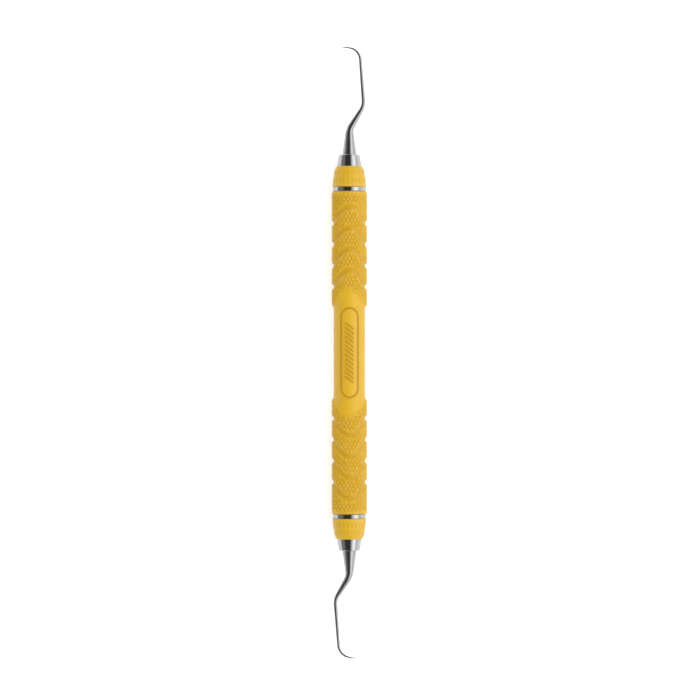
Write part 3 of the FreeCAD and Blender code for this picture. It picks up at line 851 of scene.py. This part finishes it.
def paint_resin(finish):
    """Moulded resin: a faint cloud of pigment, a fine moulded grain, and painted shade that makes it
    darker in its grooves and hollows.
    """
    paint = Paint("moulded_resin")
    recess = paint.attribute("recess")
    cloud = paint.noise(paint.place, 220, detail=3)
    grain = paint.noise(paint.place, 14000, detail=2)
    specks = paint.noise(paint.place, 2600, detail=1).ramp(0.62, 0.75)
    worn = paint.mix((cloud - 0.35) * 0.9, finish.resin, finish.resin_pale)
    # painted shade from the stored attribute darkens the resin, and random specks darken it a little
    shade = paint.mix(recess.at_least(0).at_most(1) * 0.7 + specks * 0.08, worn, finish.resin_shade_and_specks)
    return paint.coat(
        Base_Color=shade,
        Roughness=0.36 + 0.1 * cloud + 0.06 * grain,
        Normal=paint.bump(grain, 0.004 * MM, 0.5),
        Subsurface_Weight=0.12,
        Subsurface_Radius=(1.0, 0.6, 0.15),
        Subsurface_Scale=0.5 * MM,
        IOR=1.5,
    )


def paint_turned_steel(finish):
    """Turned and polished steel: fine rings round the handle, and a few hairline scratches."""
    paint = Paint("turned_steel")
    rings = paint.noise(paint.stretched(paint.place, 9000, 220, 220), 1.0, detail=3, roughness=0.6)
    smears = paint.noise(paint.place, 420, detail=2)
    drawn_out = paint.stretched(paint.place, 700, 5200, 5200)
    scratches = paint.noise(drawn_out, 1.0, detail=1).ramp(0.68, 0.74)
    return paint.coat(
        Base_Color=paint.darker(smears * 0.3 + scratches * 0.2, finish.steel, 0.8),
        Metallic=1.0,
        Roughness=0.1 + 0.08 * rings + 0.05 * smears + 0.1 * scratches,
        Normal=paint.bump(rings, 0.0012 * MM, 0.5),
    )


def paint_drawn_steel(finish):
    """Drawn steel: fine lines along the shank that follow its bends."""
    paint = Paint("drawn_steel")
    x, y, _ = paint.split(paint.attribute("side", which="Vector"))
    along = paint.attribute("along")
    lines = paint.noise(paint.join(x * 9, y * 9, along * 60), 1.0, detail=3, roughness=0.65)
    smears = paint.noise(paint.place, 500, detail=2)
    return paint.coat(
        Base_Color=paint.darker(smears * 0.3 + lines * 0.3, finish.drawn_steel, 0.7),
        Metallic=1.0,
        Roughness=0.16 + 0.14 * lines + 0.05 * smears,
        Normal=paint.bump(lines, 0.006 * MM, 0.5),
    )


def paint_tube_steel(finish):
    """The tube's own mill finish."""
    paint = Paint("tube_steel")
    lines = paint.noise(paint.stretched(paint.place, 60, 4000, 4000), 1.0, detail=2)
    return paint.coat(
        Base_Color=paint.darker(lines, finish.tube_steel, 0.75),
        Metallic=1.0,
        Roughness=0.3 + 0.2 * lines,
        Normal=paint.bump(lines, 0.004 * MM, 0.5),
    )


def paint_silicone(finish):
    """Silicone with a matt moulded skin."""
    paint = Paint("silicone")
    skin = paint.noise(paint.place, 9000, detail=2)
    return paint.coat(
        Base_Color=paint.darker(skin * 0.4, finish.silicone, 0.7),
        Roughness=0.5 + 0.2 * skin,
        Normal=paint.bump(skin, 0.004 * MM, 0.4),
    )


def paint_floor(finish):
    """A plain pale table with a barely uneven sheen."""
    paint = Paint("pale_table")
    cloud = paint.noise(paint.place, 12, detail=2)
    return paint.coat(
        Base_Color=paint.darker(cloud * 0.04, finish.floor, 0.95),
        Roughness=0.75 + 0.1 * cloud,
        Specular_IOR_Level=0.2,
        Emission_Color=(1.0, 1.0, 1.0, 1.0),
        Emission_Strength=0.22,
    )


def finish_of(name, painter):
    """The named material, painted the first time that it is asked for."""
    return bpy.data.materials.get(name) or painter(bpy.context.scene.explorer_finishes)


# ---------------------------------------- what makes each piece


class MakeGrip(bpy.types.Operator):
    """Makes the moulded grip with its waves, waist and label panels"""

    bl_idname = "explorer.make_grip"
    bl_label = "Grip"

    def execute(self, context):
        scene = context.scene
        sizes = numbers(scene.explorer_grip)
        sizes.update(start=-GRIP_HALF, end=GRIP_HALF, bore=TUBE_RADIUS + FIT, turn=0.0)
        grip = grow("grip", grip_recipe, sizes, finish_of("moulded_resin", paint_resin))
        settle(grip, "grip_resin", "grip_sleeve")
        return {"FINISHED"}


class MakeKnurl(bpy.types.Operator):
    """Makes the diamonds that stand on the grip"""

    bl_idname = "explorer.make_knurl"
    bl_label = "Knurl"

    def execute(self, context):
        scene = context.scene
        sizes = numbers(scene.explorer_grip) | numbers(scene.explorer_knurl)
        sizes["ring_count"] = 2 * math.ceil(GRIP_HALF / sizes["ring_pitch"]) + 1
        knurl = grow("knurl", knurl_recipe, sizes, finish_of("moulded_resin", paint_resin))
        settle(knurl, "grip_resin", "grip_sleeve")
        return {"FINISHED"}


class MakeMarks(bpy.types.Operator):
    """Makes the slanted bars in the label panels"""

    bl_idname = "explorer.make_marks"
    bl_label = "Panel marks"

    def execute(self, context):
        scene = context.scene
        sizes = numbers(scene.explorer_grip) | numbers(scene.explorer_marks)
        marks = grow("panel_marks", mark_recipe, sizes, finish_of("moulded_resin", paint_resin))
        settle(marks, "grip_resin", "grip_sleeve")
        return {"FINISHED"}


class MakeCones(bpy.types.Operator):
    """Makes the ribbed end cones"""

    bl_idname = "explorer.make_cones"
    bl_label = "End cones"

    def execute(self, context):
        sizes = numbers(context.scene.explorer_cone)
        for end, way in ENDS.items():
            sizes.update(start=RING_END, end=CONE_END, bore=TUBE_RADIUS + FIT)
            sizes["turn"] = 0.0 if way > 0 else math.pi
            cone = grow(f"{end}_cone", cone_recipe, sizes, finish_of("moulded_resin", paint_resin))
            settle(cone, "grip_resin", f"{end}_end_cone")
        return {"FINISHED"}


class MakeRings(bpy.types.Operator):
    """Makes the steel band rings"""

    bl_idname = "explorer.make_rings"
    bl_label = "Band rings"

    def execute(self, context):
        sizes = numbers(context.scene.explorer_ring)
        for end, way in ENDS.items():
            sizes.update(start=GRIP_HALF, end=RING_END, radius=RING_RADIUS, bore=TUBE_RADIUS + FIT)
            sizes["turn"] = 0.0 if way > 0 else math.pi
            turned_steel = finish_of("turned_steel", paint_turned_steel)
            ring = grow(f"{end}_ring", ring_recipe, sizes, turned_steel)
            settle(ring, "polished_steel", f"{end}_band_ring")
        return {"FINISHED"}


class MakeCore(bpy.types.Operator):
    """Finishes the collars, the core tube and the sealing rings"""

    bl_idname = "explorer.make_core"
    bl_label = "Collars and core"

    def execute(self, context):
        turned = finish_of("turned_steel", paint_turned_steel)
        finishes = {"core_tube": ("core_steel", finish_of("tube_steel", paint_tube_steel))}
        for end in ENDS:
            finishes[f"{end}_collar"] = ("polished_steel", turned)
            finishes[f"{end}_seal_ring"] = ("silicone", finish_of("silicone", paint_silicone))
        for node, (slot, material) in finishes.items():
            settle(smooth_copy(node, material), slot, node)
        return {"FINISHED"}


class MakeShanks(bpy.types.Operator):
    """Makes the bent shanks with their tangs and points"""

    bl_idname = "explorer.make_shanks"
    bl_label = "Shanks"

    def execute(self, context):
        sizes = context.scene.explorer_shank
        for end in ENDS:
            corners = shank_corners(end, sizes)
            inputs = shank_marks(corners, sizes)
            inputs.update(sides=sizes.sides, bend_steps=sizes.bend_steps, step=sizes.step)
            material = finish_of("drawn_steel", paint_drawn_steel)
            shank = grow(f"{end}_shank", shank_recipe, inputs, material, shank_line(corners))
            settle(shank, "instrument_steel", f"{end}_working_end")
        return {"FINISHED"}


class MakeStage(bpy.types.Operator):
    """Makes the table, the lights and the camera"""

    bl_idname = "explorer.make_stage"
    bl_label = "Stage"

    def execute(self, context):
        scene = context.scene
        stage = scene.explorer_stage
        half = stage.floor_width / 2
        corners = [(-half, -half, 0), (half, -half, 0), (half, half, 0), (-half, half, 0)]
        mesh = bpy.data.meshes.new("floor")
        mesh.from_pydata(corners, [], [(0, 1, 2, 3)])
        mesh.materials.append(finish_of("pale_table", paint_floor))
        floor = bpy.data.objects.new("floor", mesh)
        scene.collection.objects.link(floor)
        hang_light("key", stage.key_power)
        hang_light("overhead", stage.fill_power).visible_glossy = False
        hang_light("left_fill", stage.left_power).visible_glossy = False
        light_room(scene)
        camera = bpy.data.objects.new("camera", bpy.data.cameras.new("camera"))
        scene.collection.objects.link(camera)
        camera.data.lens = stage.lens
        camera.data.sensor_width = SENSOR_WIDTH
        camera.data.clip_end = FAR_CLIP
        distance = stage.lens / SENSOR_WIDTH * stage.field
        camera.location = (stage.aim_x, stage.aim_y, AXIS_HEIGHT + distance)
        camera.rotation_euler = (0, 0, -math.pi / 2)
        scene.camera = camera
        scene.view_settings.view_transform = "Standard"
        return {"FINISHED"}


def hang_light(name, watts):
    """A rectangular soft light that faces the middle of the handle."""
    place, size = LIGHTS[name]
    lamp = bpy.data.lights.new(name, "AREA")
    lamp.shape = "RECTANGLE"
    lamp.size, lamp.size_y = size
    lamp.energy = watts
    light = bpy.data.objects.new(name, lamp)
    light.location = place
    towards = Vector((0, 0, AXIS_HEIGHT)) - Vector(place)
    light.rotation_euler = towards.to_track_quat("-Z", "Y").to_euler()
    bpy.context.scene.collection.objects.link(light)
    return light


def light_room(scene):
    """A soft room for the steel to mirror: bright on the right, grey on the left, dark overhead."""
    world = bpy.data.worlds.new("room")
    world.use_nodes = True
    scene.world = world
    nodes = Nodes(world.node_tree)
    world.node_tree.nodes.clear()
    _, y, _ = nodes.split(nodes.out("ShaderNodeTexCoord"))
    right = (-y).ramp(*RIGHT_RISE, smooth=True)
    left = y.ramp(*LEFT_RISE, smooth=True)
    brightness = ROOM_DARK + right * ROOM_RIGHT + left * ROOM_LEFT
    white = (1.0, 1.0, 1.0, 1.0)
    background = nodes.out("ShaderNodeBackground", {"Color": white, "Strength": brightness})
    nodes.add("ShaderNodeOutputWorld", {"Surface": background})


# ---------------------------------------- the add-on

OPERATORS = (MakeGrip, MakeKnurl, MakeMarks, MakeCones, MakeRings, MakeCore, MakeShanks, MakeStage)
GROUPS = {
    "explorer_grip": GripSizes,
    "explorer_knurl": KnurlSizes,
    "explorer_marks": MarkSizes,
    "explorer_cone": ConeSizes,
    "explorer_ring": RingSizes,
    "explorer_shank": ShankSizes,
    "explorer_finishes": Finishes,
    "explorer_stage": StageSizes,
}


class ExplorerPanel(bpy.types.Panel):
    """Lists what makes each piece"""

    bl_idname = "VIEW3D_PT_explorer"
    bl_label = "Dental explorer"
    bl_space_type = "VIEW_3D"
    bl_region_type = "UI"
    bl_category = "Explorer"

    def draw(self, context):
        for operator in OPERATORS:
            self.layout.operator(operator.bl_idname)


def register():
    for group in GROUPS.values():
        bpy.utils.register_class(group)
    for operator in OPERATORS:
        bpy.utils.register_class(operator)
    bpy.utils.register_class(ExplorerPanel)
    for name, group in GROUPS.items():
        setattr(bpy.types.Scene, name, PointerProperty(type=group))


def unregister():
    for name in GROUPS:
        delattr(bpy.types.Scene, name)
    bpy.utils.unregister_class(ExplorerPanel)
    for operator in OPERATORS:
        bpy.utils.unregister_class(operator)
    for group in GROUPS.values():
        bpy.utils.unregister_class(group)


def main():
    register()
    for operator in OPERATORS:
        getattr(bpy.ops.explorer, operator.bl_idname.split(".")[1])()


if __name__ == "__main__":
    main()
